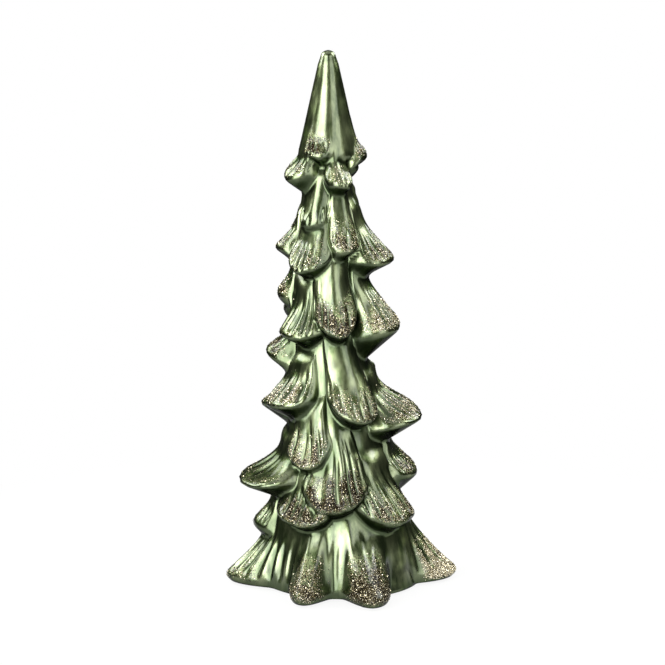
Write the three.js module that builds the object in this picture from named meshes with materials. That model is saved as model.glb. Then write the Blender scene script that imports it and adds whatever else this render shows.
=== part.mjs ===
// A table-top fir tree of blown, silvered glass: one hollow glass shell, a crust of
// glitter on each bough tip, a stopper in the blow hole and four clear bumpers below.
// Lengths are in millimetres. A bearing is in degrees about the trunk: 0 faces the
// front (-Y), 90 the right (+X), 180 the back. The tree stands on Z = 0.
import * as THREE from "three";

// The spire: a plain cone with a round tip.
const TREE_HEIGHT = 300;
const SPIRE_TIP_RADIUS = 4.0;
const SPIRE_DOME_RADIUS = 4.9;
const SPIRE_FOOT_HEIGHT = 243.5;
const SPIRE_FOOT_RADIUS = 16.5;

// The trunk between the boughs: narrow under the crown, wider towards the foot.
const NECK_HEIGHT = 225;
const NECK_RADIUS = 12.8;
const TRUNK_SWELL = 8;
const TRUNK_SWELL_DROP = 50;
const TRUNK_SPREAD = 18;
const TRUNK_SPREAD_HEIGHT = 140;
const TRUNK_SPREAD_DROP = 110;

// The trunk leans a little to the left, as hand-finished glass does.
const LEAN = 7;
const LEAN_HEIGHT = 180;

// The foot: a skirt that ends in seven points.
const FOOT_HEIGHT = 46;
const FOOT_REACH = 66;
const NOTCH_DEPTH = 20;
const SKIRT_REACH = 44;
const FOOT_LIP_HEIGHT = 3.5;
const FOOT_LIP_RISE = 1.5;
const FOOT_UNDER_ANGLE = 42;

// Roundness of the lips and of the creases between boughs, and depth of the modelling.
const LIP_ROUND = 6.5;
const CREASE_ROUND = 1.3;
const ROOT_ROUND = 5.0;
const GROOVE_DEPTH = 0.6;
const FOLD_DEPTH = 0.5;

// The glass wall and the pushed-up bottom with its blow hole.
const WALL = 2.2;
const BLOW_HOLE_RADIUS = 11;
const BOTTOM_RING = 11;
const KICK_RUN = 4;
const KICK_HEIGHT = 6.5;

// The stopper in the blow hole.
const FIT_GAP = 0.3;
const STOPPER_FLANGE = 3.5;
const STOPPER_FLANGE_THICK = 2;
const STOPPER_LIP = 1.2;
const STOPPER_LIP_THICK = 1.5;

// The clear bumpers that the tree stands on.
const BUMPER_RADIUS = 5;
const BUMPER_HEIGHT = 1.2;
const BUMPER_INSET = 14;

// The crust of glue and glitter on the bough tips.
const GLITTER_THICK = 0.6;
const GLITTER_BAND = 13;

// How finely the glass is divided.
const COLUMNS = 56;
const RING_STEP = 4;
const CONE_RING_STEP = 7;
const INSIDE_RING_STEP = 12;

// How far above the spire's lower edge the trunk ends, and the close rings start.
const TRUNK_END_RISE = 18;
const CLOSE_RINGS_RISE = 8;

// The radius given where a bough, the foot or the trunk isn't, so that it never counts.
const NOWHERE = -50;

// Each bough: bearing, height of its tip, reach from the trunk's axis, half of its
// width in degrees, length above the tip, how late it flares, how far its lip rises to
// its left and to its right side, slope of its underside, grooves, sideways drift in
// degrees.
const TIERS = {
  crown: [
    [-24, 242.5, 20.8, 46, 34, 1.1, 4, 5, 30, 5, 0],
    [-66, 232.3, 27, 40, 30, 1.5, 8, 2, 36, 4, -8],
    [19, 225.8, 26.5, 33, 34, 1.6, 6, 10, 26, 4, 6],
    [84, 242, 23, 34, 26, 1.2, -6, 6, 36, 4, 0],
    [138, 230, 22, 40, 26, 1.7, 8, 8, 34, 4, 6],
    [192, 240, 22.5, 40, 24, 1.5, 7, 7, 36, 4, 0],
    [240, 226, 23, 34, 26, 1.7, 8, 8, 34, 4, -4],
  ],
  second: [
    [-95, 190.5, 31, 34, 24, 1.9, 8, -6, 34, 5, 0],
    [-31, 181, 30.5, 40, 32, 1.3, 11, 11, 22, 6, -3],
    [24, 189.5, 28, 28, 48, 1.3, 12, 6, 24, 4, 0],
    [78, 184.3, 38, 42, 38, 1.7, 0, 9, 28, 7, 4],
    [130, 200, 22, 36, 28, 1.5, 8, 8, 40, 5, 0],
    [165, 185, 32, 40, 38, 1.6, 9, 9, 36, 6, 4],
    [216, 194, 30, 40, 36, 1.6, 9, 9, 36, 6, -5],
  ],
  third: [
    [-102, 165, 30.2, 28, 22, 1.4, 7, -6, 42, 5, 0],
    [-46, 143, 33.5, 44, 36, 2.1, 3, 6, 26, 7, -4],
    [8, 146.8, 32.5, 37, 58, 1.3, 13, 13, 22, 6, 0],
    [76, 147, 41.6, 40, 40, 1.5, -5, 11, 40, 7, 6],
    [124, 150, 32, 36, 26, 1.6, 10, 10, 40, 6, 0],
    [163, 141, 38, 40, 36, 1.7, 11, 11, 38, 7, 5],
    [212, 150, 36, 38, 34, 1.6, 10, 10, 38, 7, -4],
  ],
  fourth: [
    [-105, 133, 38.6, 34, 16, 1.4, 9, -5, 42, 6, 0],
    [-61, 105.5, 41, 44, 28, 2, 8, 5, 30, 8, -6],
    [25, 98.7, 41, 33, 54, 1.3, 14, 12, 22, 5, 16],
    [82, 97.8, 50.6, 37, 28, 3, -7, 12, 32, 7, 4],
    [126, 101, 42, 36, 24, 1.9, 11, 11, 36, 7, 0],
    [168, 99, 46, 38, 32, 1.8, 11, 11, 36, 7, 4],
    [212, 114, 40, 36, 28, 1.7, 10, 10, 36, 7, 0],
    [248, 99, 44, 30, 24, 1.9, 9, 9, 36, 6, -4],
  ],
  fifth: [
    [-77, 60, 57.7, 38, 30, 2.8, 8, 4, 24, 7, -8],
    [-32, 73.5, 39.5, 29, 38, 1.2, 11, 12, 22, 5, -4],
    [-2, 50.8, 47, 32, 50, 1.2, 13, 13, 22, 6, 0],
    [96, 65, 46.3, 36, 22, 1.7, -2, 9, 42, 6, 0],
    [140, 56, 54, 34, 30, 1.9, 10, 10, 34, 7, 4],
    [186, 69, 47.5, 34, 28, 1.8, 10, 10, 38, 7, 0],
    [228, 58, 54, 34, 30, 1.9, 10, 10, 34, 7, -4],
  ],
  sixth: [
    [-91, 33, 50.5, 27, 18, 1.3, 6, -1, 44, 5, 0],
    [-31, 42.3, 49.5, 32, 30, 1.3, 10, 14, 24, 6, -3],
    [46, 40.5, 49.8, 36, 42, 1.6, 10, 1, 26, 6, 8],
    [114, 34, 43.5, 28, 16, 1.9, 8, 8, 42, 6, 0],
    [160, 39, 51, 32, 26, 1.6, 9, 9, 40, 6, 4],
    [208, 34, 51, 30, 24, 1.6, 8, 8, 40, 6, 0],
    [246, 42, 46, 28, 20, 1.7, 8, 8, 42, 6, 0],
  ],
};

// A small leaf on the second tier's front, which carries no glitter.
const BARE_LEAF = [-28, 204.6, 22.5, 36, 34, 1.2, 10, 10, 26, 3, -3];

// The foot's seven points: bearing, how far each passes the foot's reach, and whether a
// bumper lies under it.
const FOOT_POINTS = [
  { bearing: -86, beyond: 0.5, bumper: true },
  { bearing: -20.5, beyond: -1.5, bumper: false },
  { bearing: 16, beyond: 2.5, bumper: true },
  { bearing: 95, beyond: 1, bumper: true },
  { bearing: 138, beyond: -1.5, bumper: false },
  { bearing: 185, beyond: 0, bumper: true },
  { bearing: 231, beyond: -1.5, bumper: false },
];

// The notches between them: bearing, how much deeper each is than the usual notch.
const FOOT_NOTCHES = [
  { bearing: -46, deeper: 1.5 },
  { bearing: -3, deeper: -0.5 },
  { bearing: 51, deeper: 9 },
  { bearing: 117, deeper: -1 },
  { bearing: 161, deeper: 0 },
  { bearing: 208, deeper: 0 },
  { bearing: 253, deeper: -2 },
];

const FULL_TURN = 360;
const DEG = (2 * Math.PI) / FULL_TURN;
const BASE_HEIGHT = BUMPER_HEIGHT + FIT_GAP;

const clamp = (value, low, high) => Math.min(high, Math.max(low, value));
const slopeRun = (angle) => 1 / Math.tan(angle * DEG);

// The lesser and the greater of two radii, with the corner rounded over a width.
function roundMin(a, b, width) {
  const h = clamp(0.5 + (0.5 * (b - a)) / width, 0, 1);
  return b * (1 - h) + a * h - width * h * (1 - h);
}
const roundMax = (a, b, width) => -roundMin(-a, -b, width);

function leanAt(z) {
  const s = clamp(z / LEAN_HEIGHT, 0, 1);
  return -LEAN * s * s * (3 - 2 * s);
}

function trunkRadius(z) {
  const spread = Math.max((TRUNK_SPREAD_HEIGHT - z) / TRUNK_SPREAD_DROP, 0);
  return NECK_RADIUS + TRUNK_SWELL * (1 - Math.exp((z - NECK_HEIGHT) / TRUNK_SWELL_DROP))
    + TRUNK_SPREAD * spread ** 1.3;
}

function spireRadius(phi, z) {
  const drop = Math.max(TREE_HEIGHT - z, 0);
  const taper = (SPIRE_FOOT_RADIUS - SPIRE_TIP_RADIUS) / (TREE_HEIGHT - SPIRE_FOOT_HEIGHT);
  const flute = 0.35 * Math.cos(4 * phi + 0.5) + 0.25 * Math.cos(7 * phi + 2 + drop / 30);
  const cone = SPIRE_TIP_RADIUS + taper * drop + flute * clamp((drop - 4) / 20, 0, 1);
  const dome = drop < SPIRE_DOME_RADIUS
    ? Math.sqrt(drop * (2 * SPIRE_DOME_RADIUS - drop))
    : 2 * drop - SPIRE_DOME_RADIUS;
  const lip = SPIRE_FOOT_HEIGHT + 1.5 * Math.cos(3 * phi);
  const under = SPIRE_TIP_RADIUS + taper * (TREE_HEIGHT - lip) + (z - lip) * slopeRun(40);
  return roundMin(roundMin(cone, dome, 1.8), under, 4);
}

// Small bends of the whole surface: degrees sideways and millimetres up.
function bend(phi, z) {
  return {
    side: 2 * Math.sin(z / 13 + 2 * Math.sin(phi)) + 1.3 * Math.sin(z / 6.1 + 3 * Math.cos(phi) + 1),
    up: 1.2 * Math.sin(3 * phi + z / 21) + 0.8 * Math.sin(7 * phi + 1.7 + z / 33),
  };
}

// Where a point lies on a bough: across runs from -1 to 1 over its width, along from 0 at
// its root to 1 at its lip.
function placeOnBough(phi, z, bough) {
  const [bearing, tip, , half, length, , riseLeft, riseRight, , , drift] = bough;
  const { side, up } = bend(phi, z);
  const root = tip + length;
  const level = z + up;
  const turn = phi - bearing * DEG;
  const degrees = Math.atan2(Math.sin(turn), Math.cos(turn)) / DEG + side;
  let along = clamp((root - level) / length, 0, 3);
  let across = 0;
  let lip = tip;
  for (let i = 0; i < 4; i++) {
    const grown = Math.min(along, 1);
    across = (degrees + drift * (1 - grown)) / (half * (0.72 + 0.28 * grown));
    const rise = across < 0 ? riseLeft : riseRight;
    lip = tip + rise * Math.min(Math.abs(across), 1.2) ** 2.2;
    along = clamp((root - level) / (root - lip), 0, 3);
  }
  return { across, along, lip, level, root };
}

function boughRadius(phi, z, bough) {
  const [bearing, tip, reach, , , flare, , , underAngle, grooves] = bough;
  const { across, along, lip, level, root } = placeOnBough(phi, z, bough);
  const inner = clamp(1 - across * across, 0, 1);
  const round = CREASE_ROUND + ROOT_ROUND * clamp(1 - along / 0.8, 0, 1);
  if (inner <= 0 || level > root) return { radius: NOWHERE, round };
  const grown = Math.min(along, 1);
  const lift = (reach - trunkRadius(tip)) * inner ** (0.6 + 0.5 * (1 - grown));
  const nearLip = clamp((along - 0.45) / 0.4, 0, 1) * clamp((1.04 - along) / 0.14, 0, 1);
  const wave = Math.cos(across * grooves * Math.PI * 0.9 + bearing
    + 1.5 * Math.sin(3 * across + bearing));
  const groove = GROOVE_DEPTH * wave * nearLip * clamp(inner * 3, 0, 1);
  const fold = FOLD_DEPTH * Math.cos(2.2 * Math.PI * across + bearing * 0.7 + 0.5 * along)
    * clamp(along / 0.3, 0, 1) * clamp((1.1 - along) / 0.3, 0, 1) * clamp(inner * 2, 0, 1);
  const edge = clamp(Math.min(inner / 0.3, along / 0.25), 0, 1);
  const upper = trunkRadius(z) + lift * along ** flare + groove + fold - round * (1 - edge) ** 2;
  const under = trunkRadius(lip) + lift + 0.6 + (level - lip) * slopeRun(underAngle);
  const radius = roundMin(upper, under, Math.min(LIP_ROUND, 1 + 0.9 * lift));
  return { radius, round };
}

// The foot's outline on the floor, between its points and its notches.
const wrap = (degrees) => ((degrees % FULL_TURN) + FULL_TURN) % FULL_TURN;
const FOOT_STOPS = [
  ...FOOT_POINTS.map(({ bearing, beyond }) => [wrap(bearing), FOOT_REACH + beyond]),
  ...FOOT_NOTCHES.map(({ bearing, deeper }) => [wrap(bearing), FOOT_REACH - NOTCH_DEPTH - deeper]),
].sort((a, b) => a[0] - b[0]);

function footReach(phi) {
  const degrees = wrap(phi / DEG);
  const next = FOOT_STOPS.findIndex(([bearing]) => bearing > degrees);
  const [first] = FOOT_STOPS;
  const high = next < 0 ? [first[0] + FULL_TURN, first[1]] : FOOT_STOPS[next];
  const last = FOOT_STOPS.at(next <= 0 ? -1 : next - 1);
  const low = next === 0 ? [last[0] - FULL_TURN, last[1]] : last;
  const share = 0.5 - 0.5 * Math.cos((Math.PI * (degrees - low[0])) / (high[0] - low[0]));
  const drawn = high[1] > low[1] ? share ** 1.3 : 1 - (1 - share) ** 1.3;
  return low[1] + (high[1] - low[1]) * drawn;
}

// Share of the way along the skirt, from 0 at its top to 1 at its lip.
function alongFoot(phi, z, lip) {
  const top = FOOT_HEIGHT + 6 * Math.cos(3 * phi);
  return (top - z) / (top - lip);
}

function footRadius(phi, z) {
  const reach = footReach(phi);
  const onPoint = clamp(1 - (FOOT_REACH - reach) / NOTCH_DEPTH, 0, 1);
  const lip = FOOT_LIP_HEIGHT + FOOT_LIP_RISE * onPoint;
  const along = alongFoot(phi, z, lip);
  if (along < 0) return NOWHERE;
  const wave = Math.cos(38 * phi + 2 * Math.sin(5 * phi) + 1.5 * Math.sin(z / 9));
  const groove = GROOVE_DEPTH * wave * clamp((along - 0.2) / 0.3, 0, 1)
    * clamp((1.05 - along) / 0.2, 0, 1);
  const fold = 1.6 * FOLD_DEPTH * Math.cos(11 * phi + 2 * Math.sin(2 * phi) + along)
    * clamp((1.1 - along) / 0.3, 0, 1);
  const base = trunkRadius(z) - 1;
  const upper = base + (SKIRT_REACH - base) * along ** 1.4
    + (reach - SKIRT_REACH) * along ** 2.2 + groove + fold;
  const under = reach + 0.6 + (z - lip) * slopeRun(FOOT_UNDER_ANGLE);
  return roundMin(upper, under, 4 + 3 * onPoint);
}

// The glass's outer radius about the leaning axis.
const ALL_BOUGHS = [...Object.values(TIERS).flat(), BARE_LEAF];
function glassRadius(phi, z) {
  let radius = z > SPIRE_FOOT_HEIGHT + TRUNK_END_RISE ? NOWHERE : trunkRadius(z);
  radius = roundMax(radius, spireRadius(phi, z), CREASE_ROUND);
  for (const bough of ALL_BOUGHS) {
    const { radius: reach, round } = boughRadius(phi, z, bough);
    radius = roundMax(radius, reach, round);
  }
  return roundMax(radius, footRadius(phi, z), 2.2);
}

const pointAt = (phi, z, radius) => [
  leanAt(z) + radius * Math.sin(phi), -radius * Math.cos(phi), z,
];

// Heights of the outer rings, from just under the tip down to the base.
function ringHeights() {
  const heights = [0.06, 0.26, 0.6, 1.05].map((part) => TREE_HEIGHT - part * SPIRE_DOME_RADIUS);
  const addDown = (end, step) => {
    const start = heights.at(-1);
    const count = Math.max(1, Math.round((start - end) / step));
    for (let i = 1; i <= count; i++) heights.push(start + ((end - start) * i) / count);
  };
  addDown(SPIRE_FOOT_HEIGHT + CLOSE_RINGS_RISE, CONE_RING_STEP);
  addDown(BASE_HEIGHT, RING_STEP);
  return heights;
}

const HEIGHTS = ringHeights();
const bearingOf = (column) => (2 * Math.PI * column) / COLUMNS;
const OUTER = HEIGHTS.map((z) => Array.from({ length: COLUMNS },
  (_, column) => glassRadius(bearingOf(column), z)));

const squared = (a, b) => (a[0] - b[0]) ** 2 + (a[1] - b[1]) ** 2 + (a[2] - b[2]) ** 2;

// Whether a cell of the outer surface is split from its upper left to its lower right.
function fallingSplit(ring, column) {
  const next = (column + 1) % COLUMNS;
  const at = (i, j) => pointAt(bearingOf(j), HEIGHTS[i], OUTER[i][j]);
  return squared(at(ring, column), at(ring + 1, next))
    <= squared(at(ring, next), at(ring + 1, column));
}

// The cell's two triangles, facing out, from its corners a, b above and c, d below.
const cellFaces = (a, b, c, d, falling) => (falling
  ? [[a, c, d], [a, d, b]]
  : [[a, c, b], [b, c, d]]);

function geometryFrom(points, faces) {
  const geometry = new THREE.BufferGeometry();
  geometry.setAttribute("position", new THREE.Float32BufferAttribute(points.flat(), 3));
  geometry.setIndex(faces.flat());
  geometry.computeVertexNormals();
  return geometry;
}

// The inner wall keeps inside every outer point near it by the wall's thickness.
function innerRadius(phi, z) {
  let least = Infinity;
  HEIGHTS.forEach((height, ring) => {
    if (Math.abs(height - z) > INSIDE_RING_STEP * 0.75) return;
    const centre = Math.round((phi / (2 * Math.PI)) * COLUMNS);
    for (let k = -2; k <= 2; k++) {
      least = Math.min(least, OUTER[ring][(centre + k + 2 * COLUMNS) % COLUMNS]);
    }
  });
  return least - WALL;
}

// One closed sheet: from the tip down the outside, in under the foot, up through the blow
// hole and up the inside to a point below the tip.
function glassShell() {
  const points = [pointAt(0, TREE_HEIGHT, 0)];
  const faces = [];
  const addRing = (count, radiusAt, heightAt) => {
    const start = points.length;
    for (let j = 0; j < count; j++) {
      const phi = (2 * Math.PI * j) / count;
      const z = heightAt(phi, j);
      points.push(pointAt(phi, z, radiusAt(phi, j)));
    }
    return start;
  };
  const join = (upper, lower, count, split) => {
    for (let j = 0; j < count; j++) {
      const next = (j + 1) % count;
      faces.push(...cellFaces(upper + j, upper + next, lower + j, lower + next, split(j)));
    }
  };
  let ring = addRing(COLUMNS, (phi, j) => OUTER[0][j], () => HEIGHTS[0]);
  for (let j = 0; j < COLUMNS; j++) faces.push([0, ring + j, ring + ((j + 1) % COLUMNS)]);
  for (let i = 1; i < HEIGHTS.length; i++) {
    const lower = addRing(COLUMNS, (phi, j) => OUTER[i][j], () => HEIGHTS[i]);
    join(ring, lower, COLUMNS, (j) => fallingSplit(i - 1, j));
    ring = lower;
  }
  const floor = BASE_HEIGHT + KICK_HEIGHT;
  const bottom = [
    [BLOW_HOLE_RADIUS + BOTTOM_RING + KICK_RUN, BASE_HEIGHT],
    [BLOW_HOLE_RADIUS + BOTTOM_RING, floor],
    [BLOW_HOLE_RADIUS, floor],
    [BLOW_HOLE_RADIUS, floor + WALL],
  ];
  for (const [radius, z] of bottom) {
    const lower = addRing(COLUMNS, () => radius, () => z);
    join(ring, lower, COLUMNS, () => true);
    ring = lower;
  }
  // Inside, every second column is enough.
  const inside = COLUMNS / 2;
  const first = addRing(inside, () => BLOW_HOLE_RADIUS + BOTTOM_RING + 0.7 * WALL,
    () => floor + WALL);
  for (let j = 0; j < inside; j++) {
    const [a, b, c] = [2 * j, 2 * j + 1, (2 * j + 2) % COLUMNS].map((k) => ring + k);
    const next = first + ((j + 1) % inside);
    faces.push([a, first + j, b], [b, first + j, next], [b, next, c]);
  }
  ring = first;
  const trough = BASE_HEIGHT + WALL;
  const kick = addRing(inside, () => BLOW_HOLE_RADIUS + BOTTOM_RING + KICK_RUN + 0.7 * WALL,
    () => trough);
  join(ring, kick, inside, () => true);
  ring = kick;
  const top = HEIGHTS.findIndex((z, i) => Math.min(...OUTER[i]) > 2 * WALL + 1);
  const ceiling = HEIGHTS[top];
  const steps = Math.max(2, Math.round((ceiling - trough) / INSIDE_RING_STEP));
  for (let i = 0; i < steps; i++) {
    const z = trough + ((ceiling - trough) * i) / steps;
    const upper = addRing(inside, (phi) => innerRadius(phi, z), () => z);
    join(ring, upper, inside, () => true);
    ring = upper;
  }
  points.push(pointAt(0, ceiling, 0));
  const pole = points.length - 1;
  for (let j = 0; j < inside; j++) faces.push([ring + j, pole, ring + ((j + 1) % inside)]);
  return geometryFrom(points, faces);
}

const claimed = HEIGHTS.map(() => new Array(COLUMNS).fill(false));
const isFree = (ring, column) => [-1, 0, 1].every((i) => [-1, 0, 1].every(
  (j) => !(claimed[ring + i] ?? [])[(column + j + COLUMNS) % COLUMNS],
));

// Rows of neighbouring cells around a bearing for which the test holds.
function chooseCells(bearing, test) {
  const middle = Math.floor((wrap(bearing) / FULL_TURN) * COLUMNS);
  const rows = [];
  for (let ring = 4; ring < HEIGHTS.length - 1; ring++) {
    const z = (HEIGHTS[ring] + HEIGHTS[ring + 1]) / 2;
    const wanted = (offset) => {
      const column = (middle + offset + COLUMNS) % COLUMNS;
      return isFree(ring, column) && test(bearingOf(column + 0.5), z);
    };
    let from = 0;
    let to = 0;
    if (!wanted(0)) {
      if (rows.length) break;
      continue;
    }
    while (from > -3 && wanted(from - 1)) from--;
    while (to < 3 && wanted(to + 1)) to++;
    rows.push({ ring, from: middle + from, to: middle + to });
  }
  return rows;
}

// A thin crust over some cells of the outer surface, held off the glass by the fit gap.
function crust(rows) {
  const points = [];
  const faces = [];
  const known = new Map();
  const pair = (ring, column) => {
    const j = ((column % COLUMNS) + COLUMNS) % COLUMNS;
    const key = ring * COLUMNS + j;
    if (!known.has(key)) {
      known.set(key, points.length);
      for (const lift of [FIT_GAP + GLITTER_THICK, FIT_GAP]) {
        points.push(pointAt(bearingOf(j), HEIGHTS[ring], OUTER[ring][j] + lift));
      }
    }
    return known.get(key);
  };
  const edges = new Map();
  for (const { ring, from, to } of rows) {
    for (let column = from; column <= to; column++) {
      const j = ((column % COLUMNS) + COLUMNS) % COLUMNS;
      claimed[ring][j] = true;
      const cell = cellFaces(pair(ring, column), pair(ring, column + 1),
        pair(ring + 1, column), pair(ring + 1, column + 1), fallingSplit(ring, j));
      for (const [a, b, c] of cell) {
        faces.push([a, b, c], [a + 1, c + 1, b + 1]);
        for (const [p, q] of [[a, b], [b, c], [c, a]]) {
          if (edges.has(`${q} ${p}`)) edges.delete(`${q} ${p}`);
          else edges.set(`${p} ${q}`, [p, q]);
        }
      }
    }
  }
  for (const [p, q] of edges.values()) faces.push([q, p, p + 1], [q, p + 1, q + 1]);
  return geometryFrom(points, faces);
}

function boughCells(bough) {
  return chooseCells(bough[0], (phi, z) => {
    const { across, along, lip, level } = placeOnBough(phi, z, bough);
    const onTop = boughRadius(phi, z, bough).radius > glassRadius(phi, z) - 1.5;
    return onTop && Math.abs(across) < 0.66 && along > 0.4
      && level > lip - 1.5 && level < lip + GLITTER_BAND;
  });
}

function footCells({ bearing, beyond }) {
  const low = BASE_HEIGHT + 1;
  return chooseCells(bearing, (phi, z) => footReach(phi) > FOOT_REACH + beyond - 9
    && z > low && z < low + GLITTER_BAND
    && footRadius(phi, z) > glassRadius(phi, z) - 1.5);
}

// A silicone stopper: a flange below the glass, a stem through it and a lip above it.
function stopper() {
  const below = BASE_HEIGHT + KICK_HEIGHT - FIT_GAP;
  const above = BASE_HEIGHT + KICK_HEIGHT + WALL + FIT_GAP;
  const stem = BLOW_HOLE_RADIUS - FIT_GAP;
  const flange = BLOW_HOLE_RADIUS + STOPPER_FLANGE;
  const lip = BLOW_HOLE_RADIUS + STOPPER_LIP;
  const profile = [
    [0, below - STOPPER_FLANGE_THICK],
    [flange - 0.6, below - STOPPER_FLANGE_THICK],
    [flange, below - STOPPER_FLANGE_THICK + 0.6],
    [flange, below],
    [stem, below],
    [stem, above],
    [lip, above],
    [stem, above + STOPPER_LIP_THICK],
    [0, above + STOPPER_LIP_THICK],
  ];
  const geometry = new THREE.LatheGeometry(profile.map(([x, y]) => new THREE.Vector2(x, y)), 32);
  return geometry.rotateX(Math.PI / 2);
}

function bumper() {
  return new THREE.CylinderGeometry(BUMPER_RADIUS, BUMPER_RADIUS, BUMPER_HEIGHT, 24)
    .rotateX(Math.PI / 2);
}

const tree = new THREE.Group();
function add(name, geometry, colour, roughness, metalness) {
  const material = new THREE.MeshStandardMaterial({ color: colour, roughness, metalness });
  const mesh = new THREE.Mesh(geometry, material);
  mesh.name = name;
  tree.add(mesh);
  return mesh;
}

add("glass_shell", glassShell(), 0x5f7a45, 0.2, 0.9);

for (const [tier, boughs] of Object.entries(TIERS)) {
  boughs.forEach((bough, i) => {
    const rows = boughCells(bough);
    if (rows.length) add(`glitter_${tier}_${i + 1}`, crust(rows), 0xb9a68c, 0.5, 0.3);
  });
}
FOOT_POINTS.forEach((point, i) => {
  const rows = footCells(point);
  if (rows.length) add(`glitter_foot_${i + 1}`, crust(rows), 0xb9a68c, 0.5, 0.3);
});

add("stopper", stopper(), 0xd8d8d2, 0.6, 0);

FOOT_POINTS.filter((point) => point.bumper).forEach(({ bearing, beyond }, i) => {
  const [x, y] = pointAt(bearing * DEG, 0, FOOT_REACH + beyond - BUMPER_INSET);
  add(`bumper_${i + 1}`, bumper(), 0xe6eaea, 0.3, 0).position.set(x, y, BUMPER_HEIGHT / 2);
});

// The origin is the middle of the whole tree's box, on the surface that it stands on.
const middle = new THREE.Box3().setFromObject(tree).getCenter(new THREE.Vector3());
tree.position.set(-middle.x, -middle.y, 0);

export default tree;
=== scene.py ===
# %% [markdown]
# # A table-top fir tree of silvered glass
#
# The real thing is a hollow tree, blown into a mould from hot glass. The inside is
# silvered like a Christmas bauble, the outside is dipped in clear green lacquer, and the
# tips of the boughs are brushed with glue and strewn with coarse champagne glitter.
#
# The measured model gives the size and the place of every piece. This script loads it
# and dresses it: one finely modelled glass surface, tens of thousands of glitter flakes,
# and the small parts below the foot. Everything is in metres, but glass is measured in
# millimetres, so lengths are written in millimetres and turned at the end.

import math

import bpy
import numpy as np
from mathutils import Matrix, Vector, noise


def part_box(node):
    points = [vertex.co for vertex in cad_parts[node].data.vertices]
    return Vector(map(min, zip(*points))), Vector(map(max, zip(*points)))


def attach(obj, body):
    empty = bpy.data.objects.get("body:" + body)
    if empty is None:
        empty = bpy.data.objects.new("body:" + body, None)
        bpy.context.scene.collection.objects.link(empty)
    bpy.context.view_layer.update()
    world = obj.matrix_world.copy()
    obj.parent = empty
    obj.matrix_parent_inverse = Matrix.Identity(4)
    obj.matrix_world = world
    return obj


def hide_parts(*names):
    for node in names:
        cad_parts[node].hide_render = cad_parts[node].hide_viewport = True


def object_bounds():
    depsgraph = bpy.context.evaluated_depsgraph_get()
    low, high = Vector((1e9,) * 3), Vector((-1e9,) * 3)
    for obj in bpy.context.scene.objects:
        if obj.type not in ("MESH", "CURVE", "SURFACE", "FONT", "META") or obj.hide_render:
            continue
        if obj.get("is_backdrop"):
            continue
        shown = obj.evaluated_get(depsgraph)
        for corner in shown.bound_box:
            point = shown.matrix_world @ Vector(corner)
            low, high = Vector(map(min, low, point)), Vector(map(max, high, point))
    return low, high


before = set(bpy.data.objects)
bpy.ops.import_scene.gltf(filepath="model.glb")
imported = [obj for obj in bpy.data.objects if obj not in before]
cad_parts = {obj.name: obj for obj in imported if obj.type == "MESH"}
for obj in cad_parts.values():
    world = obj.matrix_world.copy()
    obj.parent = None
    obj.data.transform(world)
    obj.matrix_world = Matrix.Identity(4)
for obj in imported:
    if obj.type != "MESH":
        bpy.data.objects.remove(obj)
cad_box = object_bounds()
MM = 0.001

stopper_low, stopper_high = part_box("stopper")
TRUNK_FOOT = np.array([
    (stopper_low[0] + stopper_high[0]) / 2,
    (stopper_low[1] + stopper_high[1]) / 2,
    0.0,
])
BASE_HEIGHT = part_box("glass_shell")[0][2] / MM
print("trunk foot at", TRUNK_FOOT.round(4), "m, glass starts at", round(BASE_HEIGHT, 2), "mm")

# %% [markdown]
# ## The camera
#
# The photograph looks down on the tree by about eleven degrees, from far enough away
# that the foot hardly grows towards the viewer. A long lens does the same here. The
# shift keeps the tree where it stands in the photograph, a little off the middle.

# %% Camera
PICTURE = 665
CAMERA_ELEVATION = math.radians(11)
CAMERA_DISTANCE = 1.5
FOCAL_PIXELS = 2690
SENSOR_WIDTH = 36
LOOK_AT = Vector((TRUNK_FOOT[0], TRUNK_FOOT[1], 0.148))
LOOK_AT_PIXEL_X = 341.0
LOOK_AT_PIXEL_Y = 322.8

camera_data = bpy.data.cameras.new("camera")
camera_data.sensor_width = SENSOR_WIDTH
camera_data.lens = FOCAL_PIXELS / PICTURE * SENSOR_WIDTH
camera_data.shift_x = (PICTURE / 2 - LOOK_AT_PIXEL_X) / PICTURE
camera_data.shift_y = -(PICTURE / 2 - LOOK_AT_PIXEL_Y) / PICTURE
camera = bpy.data.objects.new("camera", camera_data)
bpy.context.scene.collection.objects.link(camera)
camera.location = LOOK_AT + CAMERA_DISTANCE * Vector((
    0, -math.cos(CAMERA_ELEVATION), math.sin(CAMERA_ELEVATION)))
camera.rotation_euler = (math.pi / 2 - CAMERA_ELEVATION, 0, 0)
bpy.context.scene.camera = camera
print("camera at", [round(value, 3) for value in camera.location])

# %% [markdown]
# ## The shape of the glass
#
# A mould-blown tree has no undercuts, because the mould has to come off. So one number
# describes it everywhere: the distance from the trunk's axis, for each direction round
# the trunk and each height. It could be sculpted by hand, but a formula is easier to
# correct against a photograph: a slim trunk, a plain spire, forty-four boughs and a
# skirted foot, melted together where they meet.
#
# Two helpers do the melting. The lesser or the greater of two surfaces is taken, and the
# corner where they meet is rounded over a given width, as glass rounds it.

# %% Rounded joins
def round_min(a, b, width):
    share = np.clip(0.5 + 0.5 * (b - a) / width, 0, 1)
    return b * (1 - share) + a * share - width * share * (1 - share)


def round_max(a, b, width):
    return -round_min(-a, -b, width)


def slope_run(angle):
    return 1 / math.tan(math.radians(angle))


print("two radii of 10 and 12 mm join at", round(float(round_max(10.0, 12.0, 6.0)), 2), "mm")

# %% [markdown]
# The trunk is narrow under the crown and swells towards the foot. It leans a little to
# the left, because each tree is lifted from its mould while it is still soft. The spire
# is a plain cone with a round tip and a few shallow flutes.

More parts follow.
